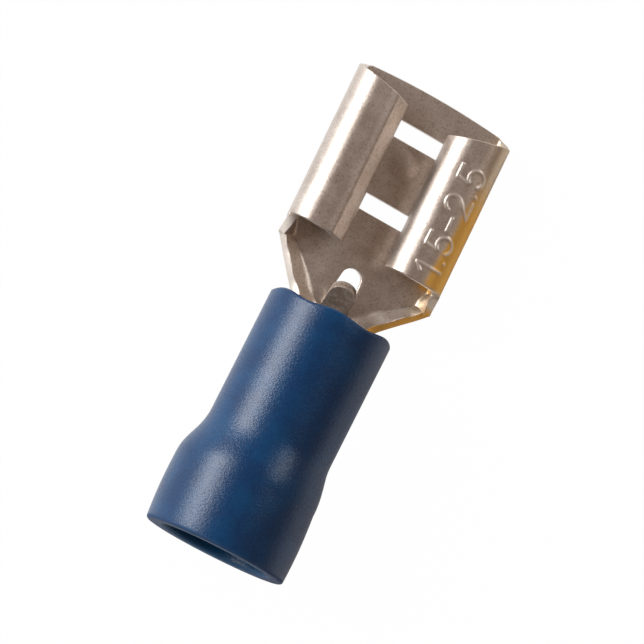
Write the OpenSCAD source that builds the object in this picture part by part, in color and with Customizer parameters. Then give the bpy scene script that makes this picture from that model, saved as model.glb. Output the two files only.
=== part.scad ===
// Female spade terminal with a flared insulating sleeve.
// The wire barrel's axis is the Y axis, +Y points to the mating end and +Z to the open
// side of the rails, and the origin is the middle of the closed part of the barrel.

/* [Sheet] */
// Thickness of the tinned brass strip
sheet_t = 0.4; // [0.36:0.02:0.44]

/* [Receptacle] */
// Width over both rails
receptacle_w = 7.6; // [7.4:0.1:7.8]
// Length from the front edge to the rear end of the rails
receptacle_l = 7.65; // [7.2:0.05:8.2]
// Width of one rolled rail
rail_w = 2.6; // [2.5:0.05:2.7]
// Outer radius of the roll at the top of a rail
roll_r = 1.1; // [1:0.05:1.2]
// Outer radius of the bend between the floor and a rail
foot_r = 0.8; // [0.7:0.05:0.9]
// Gap between the floor and the lip of a rail, for a 0.8 mm tab
tab_gap = 0.72; // [0.68:0.02:0.8]
// How far the lip turns in below the centre of the roll, in degrees
lip_turn = 20; // [10:5:30]
// How far the floor's corners stand back from the front edge
corner_setback = 0.25; // [0.15:0.05:0.4]
// Angle at which the front of a rail slants back to its lip, seen from above
rail_slant = 19; // [14:1:22]
// Angle at which the front of a rail leans back to its top, seen from the side
rail_lean = 6; // [3:1:9]

/* [Floor] */
// Distance from the front edge to the first window
window_start = 1.53; // [1.3:0.01:1.8]
// Length of each window along the terminal
window_l = 0.78; // [0.6:0.02:0.9]
// Width of each window, which ends under the rails
window_w = 3.8; // [3.4:0.1:4.2]
// Length of the floor between the windows
window_bridge = 2.76; // [2.4:0.02:3]
// Radius of the detent dimple
dimple_r = 0.55; // [0.4:0.05:0.7]
// Height of the detent dimple
dimple_h = 0.12; // [0.1:0.02:0.2]
// How far the dimple lies ahead of the middle between the windows
dimple_ahead = 0.45; // [0:0.05:0.6]

/* [Transition and wire stop] */
// Distance from the sleeve's front rim to the rails
transition_l = 3.05; // [2.8:0.05:3.4]
// Length of the straight side walls behind the rails
shoulder_l = 1; // [0.7:0.1:1.2]
// Half the width of the slot's rounded front end
slot_tip_r = 0.46; // [0.4:0.02:0.5]
// Distance from the rear end of the rails to the slot
slot_setback = 0.75; // [0.6:0.05:0.9]
// Width of the wire stop
stop_w = 1.2; // [1:0.05:1.3]
// Length of the wire stop
stop_l = 2; // [1.8:0.1:2.2]
// Angle of the wire stop above the floor, in degrees
stop_angle = 52; // [40:2:64]

/* [Wire barrel] */
// Bore of the wire barrel
barrel_bore_d = 2.6; // [2.4:0.1:2.8]
// Length of the closed part of the wire barrel
barrel_l = 5.4; // [5:0.1:5.8]
// Distance from the sleeve's front rim to the closed part
mouth_l = 1.2; // [1:0.1:1.5]
// Width of the seam along the barrel
seam_w = 0.12; // [0.06:0.02:0.2]

/* [Sleeve] */
// Length of the sleeve
sleeve_l = 11.65; // [11:0.05:12]
// Outer diameter at the front
sleeve_front_d = 5.84; // [5.6:0.02:6]
// Outer diameter at the wire entry
sleeve_rear_d = 6.68; // [6.5:0.02:6.9]
// Wall thickness at the wire entry
sleeve_wall = 0.8; // [0.7:0.05:0.9]
// Distance from the front rim to the outer flare
flare_start = 5.9; // [5.5:0.1:6.2]
// Length of the outer flare
flare_l = 2.35; // [2:0.05:2.6]
// Bore at the front rim, which bevels down to the barrel
bevel_d = 4.4; // [4:0.1:4.6]
// Length of that bevel
bevel_l = 0.7; // [0.4:0.05:0.8]
// Radius of the rounded rims
rim_r = 0.14; // [0.1:0.02:0.24]

/* [Hidden] */

$fn = 48;
barrel_r = barrel_bore_d / 2 + sheet_t;
half_w = receptacle_w / 2;
underside_z = -barrel_r;
floor_z = underside_z + sheet_t;
foot_z = underside_z + foot_r;
// The lip's lowest corner lies tab_gap above the floor
roll_z = floor_z + tab_gap + roll_r * sin(lip_turn);
roll_outer_x = half_w - roll_r;
roll_inner_x = half_w - rail_w + roll_r;
rail_rear_y = transition_l;
front_y = rail_rear_y + receptacle_l;
shoulder_y = rail_rear_y - shoulder_l;
// The modules draw from the sleeve's front rim, y = 0, and rim_y moves them to the origin
rim_y = mouth_l + barrel_l / 2;
// The barrel's mouth is cut back obliquely, and its tube is whole behind this plane
mouth_y = -mouth_l;
barrel_rear_y = mouth_y - barrel_l;
slot_front_y = rail_rear_y - slot_setback;
stop_y = 0.3;
funnel_start = -barrel_rear_y + 0.2;
funnel_l = 2;
flare_steps = 12;
reach = 20; // longer than any part that it cuts

// One rail and half of the floor as a filled outline, shrunk by inset
module rail_outline(inset) {
    for (x = [roll_inner_x, roll_outer_x])
        translate([x, roll_z]) circle(roll_r - inset);
    translate([roll_inner_x, roll_z]) square([roll_outer_x - roll_inner_x, roll_r - inset]);
    translate([roll_inner_x - inset, foot_z]) square([half_w - roll_inner_x, roll_z - foot_z]);
    translate([half_w - foot_r, foot_z]) circle(foot_r - inset);
    translate([-inset, underside_z + inset]) square([half_w - foot_r + inset, foot_r - inset]);
}

// The sheet's section across the receptacle, drawn for x > 0
module rail_section() {
    lip_ray = [roll_inner_x - 4 * cos(lip_turn), roll_z - 4 * sin(lip_turn)];
    difference() {
        rail_outline(0);
        rail_outline(sheet_t);
        polygon([[roll_inner_x, roll_z], lip_ray, [lip_ray.x, floor_z], [roll_inner_x, floor_z]]);
    }
}

// What is cut from the front: a slanted plane across the rail, and the floor's corner
module front_cut() {
    translate([half_w, front_y - corner_setback, foot_z]) rotate([rail_lean, 0, rail_slant])
        translate([-reach / 2, 0, 0]) cube(reach);
    translate([0, 0, underside_z - 1]) linear_extrude(foot_r + 1.05)
        polygon([[half_w + 1, front_y - corner_setback], [half_w - 0.3, front_y - corner_setback],
                 [half_w - 1.2, front_y], [half_w + 1, front_y + 1]]);
}

module receptacle() {
    for (side = [0, 1]) mirror([side, 0, 0])
        difference() {
            translate([0, front_y, 0]) rotate([90, 0, 0])
                linear_extrude(receptacle_l) rail_section();
            front_cut();
        }
}

module windows() {
    for (start = [window_start, window_start + window_l + window_bridge])
        translate([-window_w / 2, front_y - start - window_l, underside_z - 1])
            cube([window_w, window_l, sheet_t + 1.2]);
}

// A spherical cap of the dimple's radius and height, standing on the plane z
module dimple_cap(z) {
    cap_r = (dimple_r * dimple_r + dimple_h * dimple_h) / (2 * dimple_h);
    y = front_y - window_start - window_l - window_bridge / 2 + dimple_ahead;
    intersection() {
        translate([0, y, z + dimple_h - cap_r]) rotate([0, 90, 0]) sphere(cap_r);
        translate([-1, y - 1, z]) cube([2, 2, 1]);
    }
}

// The transition's body between the shoulder and the barrel, shrunk by inset
module transition_body(inset) {
    slice = 0.01;
    hull() {
        for (side = [-1, 1], z = [foot_z, roll_z])
            translate([side * (half_w - foot_r), shoulder_y, z]) rotate([90, 0, 0])
                cylinder(h = slice, r = foot_r - inset, $fn = 32);
        translate([0, slice, 0]) rotate([90, 0, 0])
            cylinder(h = slice, r = barrel_r - inset, $fn = 32);
    }
}

// The shoulder's section, drawn for x > 0: the floor and an upright side wall
module shoulder_section() {
    difference() {
        rail_outline(0);
        rail_outline(sheet_t);
        translate([-1, foot_z]) square([half_w - 0.5, reach]);
    }
}

// Side view of the sheet that is left: wall tops behind the rails and the barrel's mouth
module wall_profile() {
    rotate([90, 0, 90]) linear_extrude(receptacle_w + 2, center = true)
        polygon([[rail_rear_y, underside_z - 1], [rail_rear_y, roll_z + 0.2],
                 [shoulder_y, roll_z - 0.35], [0.78 * shoulder_y, foot_z - 0.05],
                 [0.44 * shoulder_y, foot_z - 0.15], [0, foot_z], [-mouth_l / 2, 0.1],
                 [mouth_y, barrel_r + 1], [barrel_rear_y, barrel_r + 1],
                 [barrel_rear_y, underside_z - 1]]);
}

module barrel_tube() {
    rotate([90, 0, 0]) difference() {
        cylinder(h = -barrel_rear_y, r = barrel_r);
        translate([0, 0, -1]) cylinder(h = reach, r = barrel_bore_d / 2);
        translate([-seam_w / 2, 0, -1]) cube([seam_w, reach, reach]);
    }
}

// The slot tapers from the wire stop's root to a round front end
module stop_slot() {
    tip_y = slot_front_y - slot_tip_r;
    root_x = stop_w / 2 + 0.03;
    translate([0, 0, underside_z - 1]) linear_extrude(1 + sheet_t + 0.3) {
        translate([0, tip_y]) circle(slot_tip_r);
        polygon([[-root_x, stop_y], [root_x, stop_y], [slot_tip_r, tip_y], [-slot_tip_r, tip_y]]);
    }
}

module wire_stop() {
    translate([0, stop_y, underside_z + sheet_t / 2]) rotate([stop_angle, 0, 0])
        translate([0, 0, -sheet_t / 2]) linear_extrude(sheet_t) {
            translate([-stop_w / 2, -sheet_t / 3]) square([stop_w, stop_l - stop_w / 2 + sheet_t / 3]);
            translate([0, stop_l - stop_w / 2]) circle(stop_w / 2);
        }
}

module terminal() {
    color("silver") translate([0, rim_y, 0]) {
        difference() {
            union() {
                receptacle();
                dimple_cap(floor_z);
            }
            windows();
            dimple_cap(underside_z);
        }
        difference() {
            intersection() {
                union() {
                    for (side = [0, 1]) mirror([side, 0, 0])
                        translate([0, rail_rear_y, 0]) rotate([90, 0, 0])
                            linear_extrude(shoulder_l) shoulder_section();
                    difference() {
                        transition_body(0);
                        transition_body(sheet_t);
                    }
                    barrel_tube();
                }
                wall_profile();
            }
            stop_slot();
        }
        wire_stop();
    }
}

// Outer radius of the flare, a half cosine wave between the two diameters
function flare_radius(share) =
    (sleeve_front_d + sleeve_rear_d) / 4 - (sleeve_rear_d - sleeve_front_d) / 4 * cos(180 * share);

module insulating_sleeve() {
    rear_r = sleeve_rear_d / 2;
    front_r = sleeve_front_d / 2;
    entry_r = rear_r - sleeve_wall;
    rim_arc = [for (a = [0:30:90]) a];
    color([0.05, 0.2, 0.42]) translate([0, rim_y, 0]) rotate([90, 0, 0]) rotate_extrude($fn = 96)
        polygon(concat(
            [for (a = rim_arc) [front_r - rim_r + rim_r * sin(a), rim_r - rim_r * cos(a)]],
            [for (i = [0:flare_steps])
                [flare_radius(i / flare_steps), flare_start + flare_l * i / flare_steps]],
            [for (a = rim_arc) [rear_r - rim_r + rim_r * cos(a), sleeve_l - rim_r + rim_r * sin(a)]],
            [[entry_r, sleeve_l], [entry_r, funnel_start + funnel_l],
             [barrel_r, funnel_start], [barrel_r, bevel_l], [bevel_d / 2, 0]]));
}

terminal();
insulating_sleeve();
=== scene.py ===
import math

import bmesh
import bpy
import numpy as np
from mathutils import Matrix, Vector


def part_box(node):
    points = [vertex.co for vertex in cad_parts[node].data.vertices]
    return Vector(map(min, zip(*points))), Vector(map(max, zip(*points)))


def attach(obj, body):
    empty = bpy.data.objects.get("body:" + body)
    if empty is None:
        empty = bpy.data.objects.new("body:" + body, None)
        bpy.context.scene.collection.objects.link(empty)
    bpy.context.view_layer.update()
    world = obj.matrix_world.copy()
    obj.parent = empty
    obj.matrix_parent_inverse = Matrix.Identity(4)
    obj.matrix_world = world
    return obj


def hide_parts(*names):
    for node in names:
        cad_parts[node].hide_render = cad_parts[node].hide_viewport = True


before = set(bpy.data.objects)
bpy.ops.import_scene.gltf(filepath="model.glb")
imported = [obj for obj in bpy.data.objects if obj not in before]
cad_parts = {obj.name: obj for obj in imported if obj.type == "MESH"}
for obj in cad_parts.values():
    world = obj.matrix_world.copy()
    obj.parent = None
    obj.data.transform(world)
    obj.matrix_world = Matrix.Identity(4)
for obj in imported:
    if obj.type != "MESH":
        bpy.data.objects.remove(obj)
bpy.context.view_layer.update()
mm = 0.001
slack = 1e-6                  # allowance for rounding, in millimetres
scene = bpy.context.scene

# Places that both pieces share, in millimetres, read from the frame's own boxes
terminalLow, terminalHigh = (np.array(corner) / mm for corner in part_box("terminal"))
sleeveLow, sleeveHigh = (np.array(corner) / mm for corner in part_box("insulating_sleeve"))
sleeveRimY = sleeveHigh[1]
sleeveRearY = sleeveLow[1]
barrelRadius = -terminalLow[2]
frontY = terminalHigh[1]
halfWidth = terminalHigh[0]
undersideZ = terminalLow[2]
print("frame loaded")


# Every stop, with evenly spaced values between neighbours that lie no further apart than step
def spread(stops, step):
    parts = [np.linspace(a, b, max(1, math.ceil((b - a) / step - slack)) + 1)[:-1]
             for a, b in zip(stops[:-1], stops[1:])]
    return np.append(np.concatenate(parts), stops[-1])


# A cubic step: 0 below low, 1 above high, and 3t^2 - 2t^3 between them
def ease(value, low, high):
    share = np.clip((value - low) / (high - low), 0, 1)
    return share * share * (3 - 2 * share)


# Quads of a grid of rows by columns points, of which the first has the number start; keep says which cells
# stay, wrap joins the last column to the first
def gridFaces(rows, columns, keep=None, wrap=False, start=0):
    index = start + np.arange(rows * columns).reshape(rows, columns)
    if wrap:
        index = np.column_stack([index, index[:, 0]])
    quads = np.stack([index[:-1, :-1], index[:-1, 1:], index[1:, 1:], index[1:, :-1]], axis=-1)
    return quads[keep] if keep is not None else quads.reshape(-1, 4)


mergeDistance = 0.002         # points of a piece nearer to each other than this become one


# A smooth mesh object from points in millimetres, with a value per point for each of its attributes. Points
# that no face uses are left out.
def makePiece(name, points, faces, attributes=None):
    used, corners = np.unique(faces, return_inverse=True)
    mesh = bpy.data.meshes.new(name)
    mesh.from_pydata((points[used] * mm).tolist(), [], corners.reshape(faces.shape).tolist())
    for key, values in (attributes or {}).items():
        mesh.attributes.new(key, "FLOAT", "POINT").data.foreach_set("value", values[used])
    work = bmesh.new()
    work.from_mesh(mesh)
    bmesh.ops.remove_doubles(work, verts=work.verts, dist=mergeDistance * mm)
    bmesh.ops.recalc_face_normals(work, faces=work.faces)
    work.to_mesh(mesh)
    work.free()
    mesh.update()
    mesh.polygons.foreach_set("use_smooth", [True] * len(mesh.polygons))
    piece = bpy.data.objects.new(name, mesh)
    scene.collection.objects.link(piece)
    return piece


# The folded terminal, in millimetres and degrees
terminal = {
    "sheet": 0.4,             # thickness of the strip
    "railLength": 7.65,
    "leftWidth": 2.68,        # of each rail
    "rightWidth": 2.78,
    "railHeight": 2.6,        # underside of the floor to the top of a rail
    "rollRadius": 1.1,        # outside of the roll at the top of a rail
    "footRadius": 0.6,        # outside of the bend between floor and rail
    "leftTop": 0.45,          # flat along the top of the left rail, whose inner side is pressed flat
    "creaseFrom": 25,         # between two bends, at these turns
    "creaseTo": 51,
    "creaseRadius": 0.2,
    "leftLipRadius": 0.45,
    "rightInnerRadius": 1.15, # of the bend at the right rail's inner side, and of its lip
    "rightLipRadius": 1.08,
    "lipTurn": 110,           # how far the strip has turned at the lip
    "tabGap": 0.72,           # floor to the lip's lowest corner
    "nose": 0.1,              # how far the middle of the front edge stands ahead of the frame's front
    "bow": 0.2,               # how much further back it is where the floor is widest
    "sideSetback": 0.45,      # how far it stands behind the frame's front at the outer side of a rail
    "leftLipSetback": 0.95,   # and at the rails' inner sides
    "rightLipSetback": 1.2,
    "frontReach": 1.0,        # from so far behind the first window's front on, rows follow the front edge
    "windowStart": 1.53,
    "windowLength": 0.78,
    "windowHalf": 1.9,        # half width
    "windowBridge": 2.76,
    "dimpleRadius": 0.75,
    "dimpleHeight": 0.1,
    "dimpleAside": -0.1,
    "dimpleAhead": 0.45,      # from the middle of the strip between the windows
    "shoulder": 0.85,         # straight side walls behind the rails
    "slotTip": 0.46,          # radius of the slot's round end
    "slotRoot": 0.63,         # half width at its rear end
    "slotSetback": 0.65,      # from the rails' rear ends to the slot's tip
    "slotFrame": 0.35,        # width of the fine mesh beside the slot, and ahead of it
    "slotAhead": 0.3,
    "stopHalf": 0.6,          # half width of the wire stop
    "stopLength": 2.0,
    "stopAngle": 52,
    "stopBend": 0.45,         # outside radius
    "stopRoot": 0.3,          # from the sleeve's rim
    "stopShadeRamp": (0.2, 0.8),  # lengths of the stop over which painted shade darkens it
    "barrelLength": 5.4,
    "seam": 0.06,             # half width of the gap along the barrel
    "seamAhead": 0.1,         # how far the gap holds the walls apart ahead of the barrel's mouth
    "edge": 0.035,            # rounding of the cut edges, where faces turn by more than edgeTurn
    "edgeTurn": 78,
    "shoulderSway": 0.08,     # how far the shoulder and the front edge stand off the sleeve's axis
    "frontSway": -0.08,
    "askew": 0.045,           # slope of the cuts across the strip
    "wave": 0.0015,           # height of each wave that rolling leaves
    "waves": [(1.1, 0.7, 0), (0.6, -2.1, 1), (1.7, 1.3, 2)],  # radians a millimetre along, across, and at 0
}

# The scoop from the shoulder to the barrel, by distance ahead of the sleeve's rim
scoop = {
    "at": [-1.2, -0.6, 0.1, 0.8, 1.5, 2.2, 3.05],
    "outline": [1.7, 1.7, 1.98, 2.61, 3.24, 3.86, 3.8],   # half width over all, straight between the places
    "bend": [1.7, 1.7, 1.6, 1.6, 1.3, 0.7, 0.6],          # outside radius of the bend beside the flat floor
    "turn": [180, 95, 42, 29, 29, 50, 90],                # how far the sheet turns up, in degrees
    "wall": [0.0, 0.0, 0.6, 0.75, 0.7, 0.55, 1.05],       # length of the straight wall beyond the bend
    "upright": 1.8,                                       # ahead of this the section has a rail's height
}

railRearY = frontY - terminal["railLength"]
shoulderY = railRearY - terminal["shoulder"]
rollZ = undersideZ + terminal["railHeight"] - terminal["rollRadius"]
footZ = undersideZ + terminal["footRadius"]
stopRootY = sleeveRimY + terminal["stopRoot"]
slotTipY = railRearY - terminal["slotSetback"] - terminal["slotTip"]
firstWindowY = frontY - terminal["windowStart"]
secondWindowY = firstWindowY - terminal["windowLength"] - terminal["windowBridge"]
dimpleY = (firstWindowY - terminal["windowLength"] + secondWindowY) / 2 + terminal["dimpleAhead"]
scoopPlaces = np.array(scoop["at"]) + sleeveRimY
barrelMouthY = scoopPlaces[0]
barrelRearY = barrelMouthY - terminal["barrelLength"]


# A measure of the scoop at y: cubic pieces through its values, whose slopes are the means of their
# neighbours' and nought at a turning point and at the ends
def alongScoop(y, name):
    places = scoopPlaces
    values = np.array(scoop[name], dtype=float)
    slopes = np.diff(values) / np.diff(places)
    inner = np.where(slopes[:-1] * slopes[1:] > 0, (slopes[:-1] + slopes[1:]) / 2, 0)
    tangent = np.concatenate([[0], inner, [0]])
    y = np.clip(y, places[0], places[-1])
    k = np.clip(np.searchsorted(places, y, side="right") - 1, 0, len(slopes) - 1)
    width = places[k + 1] - places[k]
    t = (y - places[k]) / width
    return ((1 + 2 * t) * (1 - t) ** 2 * values[k] + t * (1 - t) ** 2 * width * tangent[k]
            + t * t * (3 - 2 * t) * values[k + 1] + t * t * (t - 1) * width * tangent[k + 1])


# How far the bend beside the floor turns up at y, in radians and a quarter turn at most
def footTurn(y):
    return np.radians(np.minimum(alongScoop(y, "turn"), 90))


# Half width of the flat floor at y: the outline less what the bend and the wall take up
def floorHalf(y):
    outline = np.interp(y, scoopPlaces, scoop["outline"])
    taken = alongScoop(y, "bend") * np.sin(footTurn(y)) + alongScoop(y, "wall") * np.cos(footTurn(y))
    return np.maximum(outline - taken, 0)


# Heading, length and radius of each run of the half section at y: floor, foot bend, wall, roll, top of the
# rail, its inner bend, crease, pressed side, lip and the lip's end. A wall that leans outwards has no roll
# after it, so it goes on for longer than the sheet does. Only the left rail has the crease: on the right one
# the bend goes on round to the lip.
def sectionRuns(y, left):
    t = terminal
    quarter = math.pi / 2
    endless = 99.0
    foot = alongScoop(y, "bend")
    rise = footTurn(y)
    second = math.radians(t["creaseTo"])
    first = np.where(left, math.radians(t["creaseFrom"]), second)
    lip = math.radians(t["lipTurn"])
    innerRadius = np.where(left, t["rollRadius"], t["rightInnerRadius"])
    lipRadius = np.where(left, t["leftLipRadius"], t["rightLipRadius"])
    upright = y > sleeveRimY + scoop["upright"]
    width = np.where(left, t["leftWidth"], t["rightWidth"])
    inward = (innerRadius * np.sin(first) + t["creaseRadius"] * (math.sin(second) - np.sin(first))
              + lipRadius * (1 - math.sin(second)))
    top = np.where(left, t["leftTop"], width - t["rollRadius"] - inward)
    pressed = (width - t["rollRadius"] - top - inward) / math.cos(second)
    drop = (innerRadius * (1 - np.cos(first)) + t["creaseRadius"] * (np.cos(first) - math.cos(second))
            + pressed * math.sin(second) + lipRadius * (math.cos(second) - math.cos(lip)))
    end = np.maximum(t["railHeight"] - drop - t["sheet"] - t["tabGap"], 0) / math.sin(lip)
    roll = np.where(upright, t["rollRadius"], foot)
    return [(0.0, floorHalf(y), None),
            (0.0, foot * rise, foot),
            (rise, np.where(rise < quarter, endless, np.where(upright, rollZ - footZ, 0)), None),
            (quarter, roll * quarter, roll),
            (2 * quarter, top, None),
            (2 * quarter, first * innerRadius, innerRadius),
            (2 * quarter + first, (second - first) * t["creaseRadius"], t["creaseRadius"]),
            (2 * quarter + second, pressed, None),
            (2 * quarter + second, (lip - second) * lipRadius, lipRadius),
            (2 * quarter + lip, end, None)]


# Follows the outside of the section for the distance s from the middle of the floor: a straight run adds
# distance times heading, a bend adds the chord of its arc. Gives the place and the outward normal.
def walkSection(s, y):
    x = np.zeros_like(s)
    z = np.full_like(s, undersideZ)
    heading = np.zeros_like(s)
    rest = np.abs(s)
    for start, length, radius in sectionRuns(y, s < 0):
        gone = np.clip(rest, 0, length)
        if radius is None:
            x += gone * np.cos(start)
            z += gone * np.sin(start)
            heading = np.where(gone > 0, start, heading)
        else:
            turn = start + gone / radius
            x += radius * (np.sin(turn) - np.sin(start))
            z += radius * (np.cos(start) - np.cos(turn))
            heading = np.where(gone > 0, turn, heading)
        rest = rest - gone
    side = np.where(s < 0, -1.0, 1.0)
    return x * side, z, np.sin(heading) * side, -np.cos(heading)


# Distance round the section at which the sheet ends behind the rails: flat floor, bend and wall, and in the
# barrel half the way round but for half the seam
def wallTop(y):
    end = floorHalf(y) + alongScoop(y, "bend") * np.radians(alongScoop(y, "turn")) + alongScoop(y, "wall")
    closed = math.pi * barrelRadius - terminal["seam"]
    return np.where(y < barrelMouthY + terminal["seamAhead"], np.minimum(end, closed), end)


# How far the front edge stands behind the frame's front: on the floor a parabola in x, then a straight line
# over the rail from its outer side to its lip, with a cubic step up the side wall between the two
def setback(s):
    t = terminal
    x = np.abs(walkSection(s, np.full_like(s, frontY))[0])
    wallStart = halfWidth - t["footRadius"]
    wallEnd = wallStart + t["footRadius"] * math.pi / 2 + rollZ - footZ
    lip = np.where(s < 0, t["leftLipSetback"], t["rightLipSetback"])
    width = np.where(s < 0, t["leftWidth"], t["rightWidth"])
    onFloor = t["bow"] * (x / halfWidth) ** 2 - t["nose"]
    onRail = t["sideSetback"] + (lip - t["sideSetback"]) * (halfWidth - x) / width
    climb = ease(np.abs(s), wallStart, wallEnd)
    return onFloor * (1 - climb) + onRail * climb


# The slight waves that rolling leaves: slow sines along and across the strip
def unevenness(s, y):
    return terminal["wave"] * sum(np.sin(along * y + across * s + start)
                                  for along, across, start in terminal["waves"])


# Plain figures for the wire's section, raised on the right rail
sizeMark = {
    "text": "1.5-2.5",
    "height": 1.2,
    "stroke": 0.065,          # half width of a stroke
    "flank": (0.4, 1.5),      # where its side starts and ends, as shares of that half width
    "raise": 0.03,
    "start": 0.45,            # from the rail's rear end
    "gap": 0.2,               # between figures, as a share of their height
    "middle": 2.72,           # x of the middle of the figures
    "searchFrom": 5.0,        # distances round the section between which that middle lies
    "searchTo": 8.0,
    "searchSteps": 300,
}

# Distance round the section to the middle of the figures, read off where minus x grows over the rail's top
search = np.linspace(sizeMark["searchFrom"], sizeMark["searchTo"], sizeMark["searchSteps"])
searchX = walkSection(search, np.full_like(search, frontY))[0]
markMiddle = float(np.interp(-sizeMark["middle"], -searchX, search))


# Points along an arc about (cx, cy) between two angles in degrees
def arc(cx, cy, radius, first, last):
    turn = np.radians(np.linspace(first, last, 12))
    return np.stack([cx + radius * np.cos(turn), cy + radius * np.sin(turn)], axis=-1)


# Width of each figure and the points that its stroke joins, in a box of height 1
figures = {
    "1": (0.4, [[0.05, 0.76], [0.3, 1.0], [0.3, 0.0]]),
    "2": (0.64, [*arc(0.32, 0.7, 0.3, 165, -35), [0.0, 0.0], [0.64, 0.0]]),
    "5": (0.64, [[0.6, 1.0], [0.1, 1.0], [0.04, 0.56], *arc(0.31, 0.31, 0.31, 135, -150)]),
    "-": (0.5, [[0.0, 0.5], [0.5, 0.5]]),
    ".": (0.14, [[0.05, 0.02], [0.08, 0.02]]),
}


# Share of the figures' full height, 0 to 1: it falls in a cubic step with the distance to the nearest stroke
def markShare(s, y):
    mark = sizeMark
    pen = railRearY + mark["start"]
    near = np.full(s.shape, np.inf)
    inside = (np.abs(s - markMiddle) < mark["height"]) & (y > railRearY)
    across = (s - markMiddle)[inside] / mark["height"] + 0.5
    along = y[inside]
    nearest = np.full(across.shape, np.inf)
    for figure in mark["text"]:
        width, stroke = figures[figure]
        for (ax, ay), (bx, by) in zip(stroke[:-1], stroke[1:]):
            px = (along - pen) / mark["height"] - ax
            py = across - ay
            dx = bx - ax
            dy = by - ay
            share = np.clip((px * dx + py * dy) / (dx * dx + dy * dy), 0, 1)
            nearest = np.minimum(nearest, np.hypot(px - share * dx, py - share * dy))
        pen += (width + mark["gap"]) * mark["height"]
    near[inside] = nearest * mark["height"]
    return 1 - ease(near, mark["flank"][0] * mark["stroke"], mark["flank"][1] * mark["stroke"])


# Point of the folded strip's outside, for the distance s across and y along it: the section's point, lifted
# along its normal by the waves, with the dimple added to z, then set off and skewed as the part is
def foldSheet(s, y):
    t = terminal
    x, z, nx, nz = walkSection(s, y)
    lift = unevenness(s, y)
    near = np.hypot(s - t["dimpleAside"], y - dimpleY) / t["dimpleRadius"]
    dimple = t["dimpleHeight"] * (1 - ease(near, 0, 1))
    ahead = ease(y, sleeveRimY, shoulderY)
    along = np.clip((y - shoulderY) / (frontY - shoulderY), 0, 1)
    sway = ahead * (t["shoulderSway"] + (t["frontSway"] - t["shoulderSway"]) * along)
    return np.stack([x + nx * lift + sway, y - t["askew"] * x * ahead, z + nz * lift + dimple], axis=-1)


# Spacing of the strip's grid, in millimetres: across it first, then along it
spacing = {
    "floor": 0.13,
    "bends": 0.08,
    "leftRoll": 0.07,
    "figures": 0.035,
    "figuresHalf": 0.6,       # how far the fine columns reach, as a share of the figures' height
    "barrel": 0.4,
    "mouth": 0.1,
    "scoop": 0.08,
    "rails": 0.05,
    "stopColumns": 8,         # points over half the wire stop
    "slotColumns": 4,         # points over the frame beside the slot
    "stopRows": 26,           # points along the wire stop
}

# Top of the walls behind the rails, the frame round the slot, and the columns over the stop and the frame
rearTop = float(wallTop(np.full(1, railRearY))[0])
frameHalf = terminal["slotRoot"] + terminal["slotFrame"]
frameFront = slotTipY + terminal["slotTip"] + terminal["slotAhead"]
stopColumns = np.linspace(0, terminal["stopHalf"], spacing["stopColumns"])
slotColumns = np.linspace(terminal["slotRoot"], frameHalf, spacing["slotColumns"])


# Distance round the section for the grid's column w: behind the rails the columns beyond the slot's frame
# draw together, so that the last one of a wall lies on its top
def squeeze(w, y):
    top = np.where(y < railRearY, wallTop(y), rearTop)
    outside = frameHalf + (np.abs(w) - frameHalf) * (top - frameHalf) / (rearTop - frameHalf)
    return np.where(np.abs(w) > frameHalf, np.sign(w) * outside, w)


# Places of the grid's columns, as distances round the section from the middle of the floor
def gridColumns():
    t = terminal
    runs = [sectionRuns(np.full(1, frontY), left) for left in (True, False)]
    leftEnd, rightEnd = (sum(float(np.squeeze(length)) for start, length, radius in half) for half in runs)
    floorEnd = halfWidth - t["footRadius"]
    bendEnd = floorEnd + t["footRadius"] * math.pi / 2
    half = np.concatenate([stopColumns, slotColumns,
                           spread([frameHalf, t["windowHalf"], floorEnd], spacing["floor"])[1:],
                           spread([floorEnd, bendEnd, rearTop], spacing["bends"])[1:]])
    reach = spacing["figuresHalf"] * sizeMark["height"]
    fine = [markMiddle - reach, markMiddle + reach]
    leftRoll = spread([rearTop, leftEnd], spacing["leftRoll"])[1:]
    rightRoll = np.concatenate([spread([rearTop, fine[0]], spacing["bends"])[1:],
                                spread(fine, spacing["figures"])[1:],
                                spread([fine[1], rightEnd], spacing["bends"])[1:]])
    return np.concatenate([-leftRoll[::-1], -half[:0:-1], half, rightRoll])


# Places of the grid's rows along y
def gridRows():
    windows = [secondWindowY - terminal["windowLength"], secondWindowY,
               firstWindowY - terminal["windowLength"], firstWindowY]
    return np.concatenate([
        spread([barrelRearY, barrelMouthY], spacing["barrel"])[:-1],
        spread([barrelMouthY, sleeveRimY], spacing["mouth"])[:-1],
        spread([sleeveRimY, stopRootY, shoulderY, frameFront, railRearY], spacing["scoop"])[:-1],
        spread([railRearY, *windows, frontY], spacing["rails"])])


# Cells of the grid that the strip fills: all but what lies beyond the walls behind the rails, the windows
# and the frame round the slot
def filledCells(across, along):
    w, y = np.meshgrid(np.abs(across[:-1] + across[1:]) / 2, (along[:-1] + along[1:]) / 2)
    keep = (y > railRearY) | (w < rearTop)
    for top in (firstWindowY, secondWindowY):
        keep &= ~((w < terminal["windowHalf"]) & (y < top) & (y > top - terminal["windowLength"]))
    return keep & ~((w < frameHalf) & (y > stopRootY) & (y < frameFront))


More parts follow.
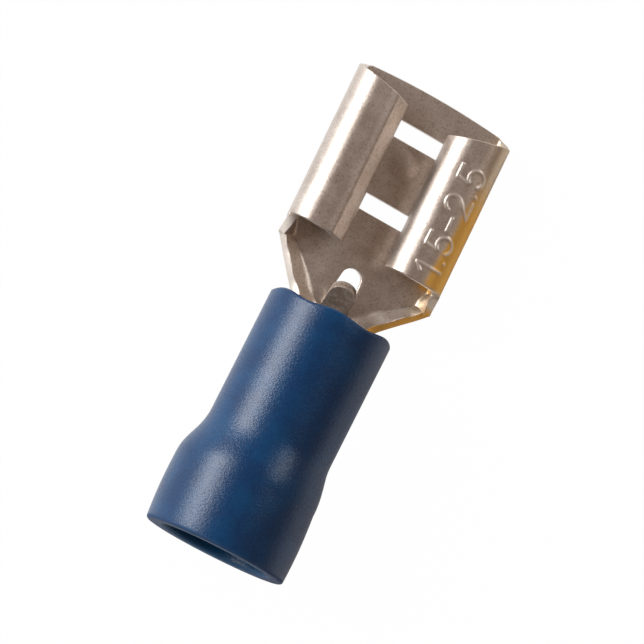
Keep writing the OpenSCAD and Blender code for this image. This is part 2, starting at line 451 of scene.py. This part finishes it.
# The frame round the slot: each of its outer points is carried straight to the slot's edge
def slotFrame(across, along):
    t = terminal
    rowsY = along[(along >= stopRootY - slack) & (along <= frameFront + slack)]
    columns = across[np.abs(across) <= frameHalf + slack]
    side = np.full(len(rowsY) - 1, frameHalf)
    frameW = np.concatenate([-side, columns, side])
    frameY = np.concatenate([rowsY[:-1], np.full(len(columns), frameFront), rowsY[-2::-1]])
    share = np.clip((frameY - stopRootY) / (slotTipY - stopRootY), 0, 1)
    beside = frameY < slotTipY
    angle = np.arctan2(frameY - slotTipY, frameW)
    slotS = np.where(beside, np.sign(frameW) * (t["slotRoot"] * (1 - share) + t["slotTip"] * share),
                     t["slotTip"] * np.cos(angle))
    slotY = np.where(beside, frameY, slotTipY + t["slotTip"] * np.sin(angle))
    outward = np.linspace(0, 1, len(slotColumns))[:, None]
    return foldSheet(slotS + (frameW - slotS) * outward, slotY + (frameY - slotY) * outward)


# The wire stop: the strip from its root through a bend to a round tip. Gives its points and how strongly
# painted shade darkens each.
def wireStop():
    t = terminal
    rootS = np.concatenate([-stopColumns[:0:-1], stopColumns])
    end = t["stopLength"] - t["stopHalf"] + np.sqrt(np.clip(t["stopHalf"] ** 2 - rootS ** 2, 0, None))
    run = np.linspace(0, 1, spacing["stopRows"])[:, None] * end
    bend = math.radians(t["stopAngle"])
    turned = np.clip(run / t["stopBend"], 0, bend)
    rest = np.clip(run - bend * t["stopBend"], 0, None)
    root = foldSheet(rootS, np.full_like(rootS, stopRootY))
    points = np.stack([np.broadcast_to(root[:, 0], run.shape),
                       root[:, 1] + t["stopBend"] * np.sin(turned) + rest * math.cos(bend),
                       root[:, 2] + t["stopBend"] * (1 - np.cos(turned)) + rest * math.sin(bend)], axis=-1)
    return points, ease(run, *t["stopShadeRamp"])


# One grid over the whole strip with the windows left out, the frame round the slot and the wire stop, made
# one sheet, thickened inwards and rounded at its cut edges
def buildTerminal():
    t = terminal
    across = gridColumns()
    along = gridRows()
    w, y = np.meshgrid(across, along)
    s = squeeze(w, y)
    y = y - setback(s) * ease(y, firstWindowY - t["frontReach"], frontY)
    strip = foldSheet(s, y)
    stop, stopShadeRamp = wireStop()
    grids = [strip, slotFrame(across, along), stop]
    faces = []
    count = 0
    for grid, keep in zip(grids, (filledCells(across, along), None, None)):
        faces.append(gridFaces(*grid.shape[:2], keep, start=count))
        count += grid.shape[0] * grid.shape[1]
    mark = np.zeros(count)
    mark[:s.size] = markShare(s, y).ravel()
    # How strongly painted shade darkens each point; only the wire stop's points get it
    stopShade = np.zeros(count)
    stopShade[-stopShadeRamp.size:] = stopShadeRamp.ravel()
    piece = makePiece("foldedTerminal", np.concatenate([grid.reshape(-1, 3) for grid in grids]),
                      np.concatenate(faces), {"mark": mark, "stopShade": stopShade})
    wall = piece.modifiers.new("sheet", "SOLIDIFY")
    wall.thickness = t["sheet"] * mm
    wall.offset = -1
    wall.use_even_offset = False
    wall.material_offset_rim = 1
    rounding = piece.modifiers.new("edges", "BEVEL")
    rounding.width = t["edge"] * mm
    rounding.segments = 2
    rounding.limit_method = "ANGLE"
    rounding.angle_limit = math.radians(t["edgeTurn"])
    rounding.use_clamp_overlap = False
    rounding.miter_outer = "MITER_ARC"
    return piece


# Gives the piece the mesh that its modifiers make, with the figures raised along its normals. Only the rail's
# outside gets them, where the normal points away from the rail's middle.
def raiseFigures(piece):
    ready = piece.evaluated_get(bpy.context.evaluated_depsgraph_get())
    mesh = bpy.data.meshes.new_from_object(ready)
    place = np.empty(len(mesh.vertices) * 3)
    normal = np.empty(len(mesh.vertices) * 3)
    share = np.empty(len(mesh.vertices))
    mesh.vertices.foreach_get("co", place)
    mesh.vertices.foreach_get("normal", normal)
    mesh.attributes["mark"].data.foreach_get("value", share)
    place = place.reshape(-1, 3)
    normal = normal.reshape(-1, 3)
    away = place - np.array([halfWidth - terminal["rightWidth"] / 2, 0, 0]) * mm
    outside = away[:, 0] * normal[:, 0] + away[:, 2] * normal[:, 2] > 0
    place += normal * (share * outside * sizeMark["raise"] * mm)[:, None]
    mesh.vertices.foreach_set("co", place.ravel())
    mesh.update()
    piece.modifiers.clear()
    piece.data = mesh


# The insulating sleeve, in millimetres; places are measured back from its front rim
sleeve = {
    "frontRadius": 2.92,
    "rearRadius": 3.34,
    "wall": 0.8,
    "clearance": 0.02,        # round the barrel
    "mouthRadius": 2.2,       # to which the bore opens at the front rim
    "mouthLength": 0.75,
    "flareStart": 6.05,
    "flareLength": 2.3,
    "swell": 0.06,            # of the bell's middle
    "frontRim": 0.14,         # rounding of the rims
    "rearRim": 0.12,
    "innerRim": 0.18,
    "funnelStart": 6.8,
    "funnelLength": 2.0,
    "rimWaves": 6,            # uneven cut of the front rim
    "rimDepth": 0.15,
    "rimReach": 1.5,          # where the waves have died away
    "sag": 0.12,              # how far the flare stands off to the left, starting where the barrel ends
    "sagFrom": 6.7,
    "sagTo": 8.4,
    "oval": 0.002,            # how much wider than round it is, as a share, and where, in radians
    "ovalTurn": 0.6,
    "around": 160,            # points round the axis
    "beside": 0.1,            # how near the points of a straight stretch come to the bends,
    "frontRows": 0.6,         # but on the front's outside they start here
    "rimPoints": 6,           # points along each stretch of the section
    "frontPoints": 20,
    "flarePoints": 40,        # and of the funnel
    "bellPoints": 14,
    "entryPoints": 10,
    "borePoints": 8,
}


# Radius and place along the whole section, stretch by stretch from the bore's front round both rims and
# back: straight lines, quarter circles at the rims, half a cosine wave down the flare and the funnel, and
# half a sine wave along the bell
def sleeveProfile():
    v = sleeve
    length = sleeveRimY - sleeveRearY
    front, rear = v["frontRadius"], v["rearRadius"]
    bore = barrelRadius + v["clearance"]
    entry = rear - v["wall"]
    mouth = v["mouthRadius"]
    tip, corner, inner = v["frontRim"], v["rearRim"], v["innerRim"]
    near = v["beside"]
    bend = np.radians(np.linspace(0, 90, v["rimPoints"]))
    run = np.linspace(0, 1, v["flarePoints"])
    wave = (1 - np.cos(math.pi * run)) / 2
    flareEnd = v["flareStart"] + v["flareLength"]
    funnelEnd = v["funnelStart"] + v["funnelLength"]
    bell = rear + v["swell"] * np.sin(math.pi * np.linspace(0, 1, v["bellPoints"] + 2)[1:-1])
    straightFront = np.linspace(v["frontRows"], v["flareStart"] - near, v["frontPoints"])
    straightEntry = np.linspace(length - inner - near, funnelEnd + near, v["entryPoints"])
    straightBore = np.linspace(v["funnelStart"] - 2 * near, v["mouthLength"] + 1.5 * near, v["borePoints"])
    stretches = [
        ([bore, mouth - near], [v["mouthLength"], tip + near]),
        (mouth + tip - tip * np.cos(bend), tip - tip * np.sin(bend)),
        (front - tip + tip * np.sin(bend), tip - tip * np.cos(bend)),
        (np.full_like(straightFront, front), straightFront),
        (front + (rear - front) * wave, v["flareStart"] + v["flareLength"] * run),
        (bell, np.linspace(flareEnd + 1.5 * near, length - corner - near, v["bellPoints"])),
        (rear - corner + corner * np.cos(bend), length - corner + corner * np.sin(bend)),
        (entry + inner - inner * np.sin(bend), length - inner + inner * np.cos(bend)),
        (np.full_like(straightEntry, entry), straightEntry),
        (entry + (bore - entry) * wave, v["funnelStart"] + v["funnelLength"] * (1 - run)),
        (np.full_like(straightBore, bore), straightBore),
    ]
    return [np.concatenate([stretch[k] for stretch in stretches]) for k in (0, 1)]


# The section carried round the barrel's axis, a little oval; the front rim's cut wanders by a few cosine
# waves, and behind the barrel the axis stands off to the left and comes back in a straight line
def buildSleeve():
    v = sleeve
    radius, place = sleeveProfile()
    length = sleeveRimY - sleeveRearY
    angle = np.linspace(0, 2 * math.pi, v["around"], endpoint=False)
    uneven = v["rimDepth"] * (1 - np.cos(v["rimWaves"] * angle)) / 2
    shift = uneven * np.clip(1 - place / v["rimReach"], 0, 1)[:, None]
    ovalness = 1 + v["oval"] * np.sin(2 * angle + v["ovalTurn"])
    back = np.minimum((length - place) / (length - v["sagTo"]), 1)
    aside = (-v["sag"] * ease(place, v["sagFrom"], v["sagTo"]) * back)[:, None]
    across = radius[:, None] * ovalness
    points = np.stack([across * np.sin(angle) + aside, sleeveRimY - place[:, None] - shift,
                       across * np.cos(angle)], axis=-1)
    rows, columns = points.shape[:2]
    index = np.arange(rows * columns).reshape(rows, columns)
    last = np.column_stack([index[-1], np.roll(index[-1], -1)])
    first = np.column_stack([index[0], np.roll(index[0], -1)])
    closing = np.column_stack([last, first[:, ::-1]])
    return makePiece("flaredSleeve", points.reshape(-1, 3),
                     np.concatenate([gridFaces(rows, columns, wrap=True), closing]))


# A shader socket whose operators add Math nodes
class Value:
    def __init__(self, tree, socket):
        self.tree = tree
        self.socket = socket

    def math(self, operation, other=None, flip=False):
        node = self.tree.nodes.new("ShaderNodeMath")
        node.operation = operation
        for slot, item in zip(node.inputs, (other, self) if flip else (self, other)):
            if isinstance(item, Value):
                self.tree.links.new(item.socket, slot)
            elif item is not None:
                slot.default_value = item
        return Value(self.tree, node.outputs[0])

    def __add__(self, other):
        return self.math("ADD", other)

    def __radd__(self, other):
        return self.math("ADD", other)

    def __sub__(self, other):
        return self.math("SUBTRACT", other)

    def __rsub__(self, other):
        return self.math("SUBTRACT", other, flip=True)

    def __mul__(self, other):
        return self.math("MULTIPLY", other)

    def __rmul__(self, other):
        return self.math("MULTIPLY", other)


# A new node material and the nodes that its formulas need
class Shader:
    def __init__(self, name):
        self.material = bpy.data.materials.new(name)
        self.material.use_nodes = True
        self.tree = self.material.node_tree
        self.surface = self.tree.nodes["Principled BSDF"]
        self.place = self.node("TexCoord", output="Object")

    # Adds a node: its settings first, then its sockets by name, with underscores for spaces
    def node(self, kind, settings=None, output=0, **inputs):
        made = self.tree.nodes.new("ShaderNode" + kind)
        for key, value in (settings or {}).items():
            setattr(made, key, value)
        for key, value in inputs.items():
            wanted = key.replace("_", " ")
            socket = next(slot for slot in made.inputs if slot.name == wanted and slot.enabled)
            self.feed(socket, value)
        return Value(self.tree, made.outputs[output])

    # Links a value to a socket, or sets it there; a colour of three numbers gets its alpha
    def feed(self, socket, value):
        if isinstance(value, Value):
            self.tree.links.new(value.socket, socket)
        elif hasattr(socket.default_value, "__len__") and len(socket.default_value) == 4 and len(value) == 3:
            socket.default_value = (*value, 1)
        else:
            socket.default_value = value

    # Noise by its features in a metre, the number of finer octaves and how strong each is
    def noise(self, scale, detail, roughness):
        return self.node("TexNoise", Vector=self.place, Scale=scale, Detail=detail, Roughness=roughness)

    # A smooth step of value: 0 below low, 1 above high
    def step(self, value, low, high):
        return self.node("MapRange", {"interpolation_type": "SMOOTHSTEP"}, Value=value,
                         From_Min=low, From_Max=high, To_Min=0.0, To_Max=1.0)

    # The same for a length in metres, between two places in millimetres
    def stepPlaces(self, value, places):
        return self.step(value, places[0] * mm, places[1] * mm)

    # A mix of two colours by a factor
    def mix(self, factor, first, second):
        made = self.tree.nodes.new("ShaderNodeMix")
        made.data_type = "RGBA"
        self.feed(made.inputs["Factor"], factor)
        for socket, value in zip([slot for slot in made.inputs if slot.type == "RGBA"], (first, second)):
            self.feed(socket, value)
        return Value(self.tree, next(slot for slot in made.outputs if slot.type == "RGBA"))

    # One of the object's coordinates, in metres
    def axis(self, name):
        return self.node("SeparateXYZ", output=name, Vector=self.place)

    # The piece's own value at a point
    def own(self, name):
        return self.node("Attribute", {"attribute_name": name}, output="Fac")


# Colours of the plating and the brass, noises as features in a metre, detail and roughness, and places of
# the worn stretches and of the painted sheen in millimetres. A pair is where a step starts and ends.
tin = {
    "bright": (0.75, 0.675, 0.615),
    "dull": (0.64, 0.56, 0.50),
    "speck": (0.36, 0.29, 0.23),
    "paintedHighlight": (0.86, 0.80, 0.73),      # painted highlight on the raised figures and the cut edges
    "warm": (0.74, 0.58, 0.38),      # thin plating
    "brass": (0.93, 0.55, 0.125),
    # painted shade on the wire stop
    "stopShadeTone": (0.40, 0.32, 0.27),
    "frontSheenShare": 0.7,              # of the colour, where it shows most; this first one is the painted sheen towards the front
    "speckShare": 0.8,
    "warmShare": 0.75,
    "brassShare": 0.95,
    # shares of the painted highlight on the figures and on the cut edges
    "figureHighlightShare": 0.8,
    "cutHighlightShare": 0.6,
    "patchNoise": (1100, 5, 0.65),
    "patchStep": (0.36, 0.66),       # from dull to bright
    "grainNoise": (11000, 3, 0.75),
    "speckStep": (0.48, 0.72),
    "mottleNoise": (3200, 4, 0.7),
    "mottleStep": (0.3, 0.6),
    "borderNoise": (900, 4, 0.55),
    "wander": 0.7,                   # how far the noise moves the thin plating's border,
    "sideWander": 0.5,               # and the bare strip's borders, as shares of that
    "frontWander": 1.5,
    # painted sheen: from here to the front edge the plating is painted brighter, standing in for a lighter
    # reflection
    "frontSheenY": (12.4, 14.6),
    "thinX": (2.5, 3.7),
    "bareX": (3.0, 3.3),             # the bare strip's border at bareMiddleY
    "bareMiddleY": 11.5,
    "bareWidening": 0.05,            # how much further in it is for each millimetre to the rear
    "bareRearY": (6.7, 7.0),
    "bareFrontY": (10.4, 12.6),
    "bareEdgeX": (0.9, 1.6),         # the scoop's right cut edge
    "bareEdgeY": (5.9, 6.3),
    "roughness": 0.35,
    "cutMatt": 0.12,                 # added on the cut edges,
    "patchMatt": 0.03,               # on bright patches,
    "grainMatt": 0.10,               # with the grain,
    "bareAndShadeMatt": 0.12,                # and on bare places and the wire stop's painted shade
    "bumpStrength": 0.5,
    "bumpHeight": 0.02,
}


# Tin over brass: slow patches of dull and bright plating with fine specks, a painted sheen that brightens the
# plating towards the front, and brass where the plating has gone, in a strip along the right rail's side that
# widens to the rear, and on the right cut edge of the scoop; a painted highlight on the raised figures and
# the cut edges, and mottled painted shade on the wire stop
def tinnedBrass(name, cut):
    shade = Shader(name)
    x = shade.axis("X")
    y = shade.axis("Y")
    patches = shade.step(shade.noise(*tin["patchNoise"]), *tin["patchStep"])
    grain = shade.noise(*tin["grainNoise"])
    plating = shade.mix(patches, tin["dull"], tin["bright"])
    # Painted sheen: brighter plating towards the front edge, standing in for a lighter reflection there
    plating = shade.mix(shade.stepPlaces(y, tin["frontSheenY"]) * tin["frontSheenShare"], plating, tin["bright"])
    plating = shade.mix(shade.step(grain, *tin["speckStep"]) * tin["speckShare"], plating, tin["speck"])
    wander = (shade.noise(*tin["borderNoise"]) - 0.5) * (tin["wander"] * mm)
    plating = shade.mix(shade.stepPlaces(x + wander, tin["thinX"]) * tin["warmShare"], plating, tin["warm"])
    if cut:
        bare = shade.stepPlaces(x, tin["bareEdgeX"]) * (1 - shade.stepPlaces(y, tin["bareEdgeY"]))
        # Painted highlight: the cut edges are painted paler, for the light that catches them
        plating = shade.mix(tin["cutHighlightShare"], plating, tin["paintedHighlight"])
    else:
        border = x + wander * tin["sideWander"] + (tin["bareMiddleY"] * mm - y) * tin["bareWidening"]
        behind = 1 - shade.stepPlaces(y + wander * tin["frontWander"], tin["bareFrontY"])
        bare = shade.stepPlaces(border, tin["bareX"]) * behind * shade.stepPlaces(y, tin["bareRearY"])
    colour = shade.mix(bare * tin["brassShare"], plating, tin["brass"])
    # Painted highlight: the raised figures are painted pale, for the light that their sloping sides catch
    colour = shade.mix(shade.own("mark") * tin["figureHighlightShare"], colour, tin["paintedHighlight"])
    # Mottled painted shade: the wire stop is darkened beyond its root
    stopShade = shade.own("stopShade")
    mottledShade = stopShade * shade.step(shade.noise(*tin["mottleNoise"]), *tin["mottleStep"])
    colour = shade.mix(mottledShade, colour, tin["stopShadeTone"])
    shade.feed(shade.surface.inputs["Base Color"], colour)
    shade.surface.inputs["Metallic"].default_value = 1.0
    matt = tin["roughness"] + (tin["cutMatt"] if cut else 0.0)
    shade.feed(shade.surface.inputs["Roughness"], matt + tin["patchMatt"] * patches + tin["grainMatt"] * grain
               + tin["bareAndShadeMatt"] * (stopShade + bare))
    bump = shade.node("Bump", Strength=tin["bumpStrength"], Distance=tin["bumpHeight"] * mm, Height=grain)
    shade.feed(shade.surface.inputs["Normal"], bump)
    return shade.material


# Colours of the vinyl, noises as features in a metre, detail and roughness, and places in millimetres
pvc = {
    "deep": (0.0002, 0.032, 0.115),
    "pale": (0.0004, 0.06, 0.175),
    "inside": (0.001, 0.075, 0.2),   # painted glow for the light that comes through the wall there
    "glowRadii": (2.6, 2.75),      # between the funnel and the outside
    "cloudNoise": (600, 4, 0.6),
    "cloudStep": (0.35, 0.7),        # from deep to pale
    "speckleNoise": (9000, 3, 0.75),
    "speckleStep": (0.35, 0.65),
    "speckleShare": 0.3,             # of the tone, and the clouds have the rest
    "roughness": 0.24,
    "speckleMatt": 0.08,
    "endMatt": 0.35,                 # added on the cut end
    "endDepths": (0.08, 0.2),        # from the wire entry, between which the cut end turns to skin
    "bumpStrength": 0.8,
    "bumpHeight": 0.02,
}


# Moulded vinyl: two close blues in soft clouds and specks, with a painted glow inside for the light that
# comes through the wall, under a satin skin with a fine orange-peel grain. The inside is where the sum of x
# squared and z squared is less than a radius squared.
def satinPvc():
    shade = Shader("satin blue vinyl")
    clouds = shade.step(shade.noise(*pvc["cloudNoise"]), *pvc["cloudStep"])
    speckle = shade.noise(*pvc["speckleNoise"])
    specks = shade.step(speckle, *pvc["speckleStep"])
    tone = clouds * (1 - pvc["speckleShare"]) + specks * pvc["speckleShare"]
    x = shade.axis("X")
    z = shade.axis("Z")
    squared = (x * x + z * z) * (1 / mm ** 2)
    # Painted glow: the bore is painted paler blue, for the light that comes through the wall
    inner = 1 - shade.step(squared, *(radius ** 2 for radius in pvc["glowRadii"]))
    colour = shade.mix(inner, shade.mix(tone, pvc["deep"], pvc["pale"]), pvc["inside"])
    shade.feed(shade.surface.inputs["Base Color"], colour)
    cutEnd = 1 - shade.stepPlaces(shade.axis("Y"), [sleeveRearY + depth for depth in pvc["endDepths"]])
    shade.feed(shade.surface.inputs["Roughness"],
               pvc["roughness"] + pvc["speckleMatt"] * speckle + pvc["endMatt"] * cutEnd)
    bump = shade.node("Bump", Strength=pvc["bumpStrength"], Distance=pvc["bumpHeight"] * mm, Height=speckle)
    shade.feed(shade.surface.inputs["Normal"], bump)
    return shade.material


terminalPiece = buildTerminal()
terminalPiece.data.materials.append(tinnedBrass("tin plate", cut=False))
terminalPiece.data.materials.append(tinnedBrass("cut edge", cut=True))
raiseFigures(terminalPiece)
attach(terminalPiece, "root")
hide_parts("terminal")
print("terminal built:", len(terminalPiece.data.polygons), "faces")

sleevePiece = buildSleeve()
sleevePiece.data.materials.append(satinPvc())
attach(sleevePiece, "root")
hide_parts("insulating_sleeve")
print("sleeve built:", len(sleevePiece.data.polygons), "faces")


# The white floor, the sky and the two lamps
stage = {
    "floorSize": 1.2,         # metres
    "floorWhite": 0.85,
    "floorRoughness": 0.9,
    "bellPlace": 3.4,         # millimetres from the wire entry to where the bell touches the table
    "gap": 0.02,              # millimetres between the part and the table
    "floorShown": 0.99,       # share of plain white in what the camera sees of the floor,
    "leftShown": 0.8,         # in what reflections see of it on the left,
    "rightShown": 0.15,       # and on the right,
    "shownAlong": (0.0, 4.0), # x in millimetres between which it falls
    "skyLow": (1.0, 1.0, 1.0),
    "skyHigh": (0.20, 0.145, 0.115),
    "skyFrom": 0.1,           # height in the sky, as the sine of its angle, where white starts to fade
    "skyTo": 0.45,
    "skyShade": 0.35,         # how much sooner it fades on the right
    "lampDistance": 0.3,      # metres
    "middle": (0, 3, 0),      # what the lamps face
    "keyWay": (-0.85, 0.12, 0.52),
    "keySize": (0.15, 0.2),
    "keyRadiance": 9.0,
    "sideWay": (0.515, 0.531, 0.672),
    "sideSize": (0.06, 0.06),
    "sideRadiance": 9.0,
}


# A plane through the two places that the part rests on, its bell and its front edge, lowered by the bell's
# swell and a small gap. The lamps light it as a matt white table, but the camera sees it as plain white, and
# reflections see a share of white that falls from the left to the right.
def tableFloor():
    rearY = sleeveRearY + stage["bellPlace"]
    rise = (undersideZ - sleeveLow[2]) / (frontY - rearY)
    side = stage["floorSize"] / 2
    corners = np.array([[-side, -side], [side, -side], [side, side], [-side, side]])
    height = sleeveLow[2] * mm + (corners[:, 1] - rearY * mm) * rise - (stage["gap"] + sleeve["swell"]) * mm
    mesh = bpy.data.meshes.new("table")
    mesh.from_pydata(np.column_stack([corners, height]).tolist(), [], [(0, 1, 2, 3)])
    table = bpy.data.objects.new("table", mesh)
    scene.collection.objects.link(table)
    shade = Shader("white table")
    shade.feed(shade.surface.inputs["Base Color"], (stage["floorWhite"],) * 3)
    shade.surface.inputs["Roughness"].default_value = stage["floorRoughness"]
    shade.surface.inputs["Specular IOR Level"].default_value = 0.0
    camera = shade.node("LightPath", output="Is Camera Ray")
    glossy = shade.node("LightPath", output="Is Glossy Ray")
    through = shade.node("LightPath", output="Is Transmission Ray")
    fall = shade.stepPlaces(shade.axis("X"), stage["shownAlong"])
    reflected = glossy * (stage["leftShown"] - (stage["leftShown"] - stage["rightShown"]) * fall)
    seen = (camera.math("MAXIMUM", through) * stage["floorShown"]).math("MAXIMUM", reflected)
    glow = shade.node("Emission", Color=(1, 1, 1), Strength=1.0)
    mixed = shade.tree.nodes.new("ShaderNodeMixShader")
    shade.feed(mixed.inputs[0], seen)
    shade.tree.links.new(shade.surface.outputs[0], mixed.inputs[1])
    shade.tree.links.new(glow.socket, mixed.inputs[2])
    shade.tree.links.new(mixed.outputs[0], shade.tree.nodes["Material Output"].inputs["Surface"])
    mesh.materials.append(shade.material)


# An area lamp that faces the part; its power is radiance times pi times its area
def softbox(name, direction, size, radiance):
    data = bpy.data.lights.new(name, "AREA")
    data.shape = "RECTANGLE"
    data.size, data.size_y = size
    data.energy = radiance * math.pi * size[0] * size[1]
    lamp = bpy.data.objects.new(name, data)
    way = Vector(direction).normalized()
    side = Vector((0, 1, 0)).cross(way).normalized()
    place = Vector(stage["middle"]) * mm + way * stage["lampDistance"]
    lamp.matrix_world = Matrix.Translation(place) @ Matrix((side, way.cross(side), way)).transposed().to_4x4()
    scene.collection.objects.link(lamp)


# A world that is white to a little above the horizon and fades to a dim brown overhead, sooner on the right,
# and two softboxes
def studio():
    world = bpy.data.worlds.new("studio")
    scene.world = world
    world.use_nodes = True
    tree = world.node_tree
    where = tree.nodes.new("ShaderNodeTexCoord")
    split = tree.nodes.new("ShaderNodeSeparateXYZ")
    fade = tree.nodes.new("ShaderNodeValToRGB")
    low, high = fade.color_ramp.elements
    low.position = stage["skyFrom"]
    low.color = (*stage["skyLow"], 1)
    high.position = stage["skyTo"]
    high.color = (*stage["skyHigh"], 1)
    tree.links.new(where.outputs["Generated"], split.inputs[0])
    across, height = Value(tree, split.outputs["X"]), Value(tree, split.outputs["Z"])
    tree.links.new((height + across.math("MAXIMUM", 0.0) * stage["skyShade"]).socket, fade.inputs[0])
    tree.links.new(fade.outputs[0], tree.nodes["Background"].inputs["Color"])
    softbox("key softbox", stage["keyWay"], stage["keySize"], stage["keyRadiance"])
    softbox("side softbox", stage["sideWay"], stage["sideSize"], stage["sideRadiance"])


# The camera, far off with a long lens
view = {
    "roll": 4.0,              # degrees towards the left side
    "pitch": 5.8,             # degrees towards the wire entry
    "spin": 26.8,             # degrees that the part's axis leans to the right
    "aim": (0.0, 3.0, -0.5),  # millimetres
    "aside": (0.02, -0.53),   # how far the aim lies to the right of the line of sight and above it
    "distance": 600.0,
    "lens": 762.3,
    "sensor": 36.0,
    "clip": (0.01, 10.0),     # metres
}


# Looks down on the part from the roll and pitch angles, turned about the line of sight by the spin
def placeCamera():
    roll, pitch, spin = (math.radians(view[key]) for key in ("roll", "pitch", "spin"))
    toCamera = np.array([-math.sin(roll) * math.cos(pitch), -math.sin(pitch),
                         math.cos(roll) * math.cos(pitch)])
    up = np.array([0, 1, 0]) - toCamera * toCamera[1]
    up /= np.linalg.norm(up)
    right = np.cross(up, toCamera)
    imageX = math.cos(spin) * right + math.sin(spin) * up
    imageY = -math.sin(spin) * right + math.cos(spin) * up
    place = (np.array(view["aim"]) + view["distance"] * toCamera
             - view["aside"][0] * imageX - view["aside"][1] * imageY) * mm
    data = bpy.data.cameras.new("camera")
    data.lens = view["lens"]
    data.sensor_width = view["sensor"]
    data.clip_start, data.clip_end = view["clip"]
    camera = bpy.data.objects.new("camera", data)
    camera.matrix_world = (Matrix.Translation(Vector(place))
                           @ Matrix((imageX, imageY, toCamera)).transposed().to_4x4())
    scene.collection.objects.link(camera)
    scene.camera = camera


tableFloor()
studio()
placeCamera()
scene.view_settings.view_transform = "Standard"
print("stage, lamps and camera placed")
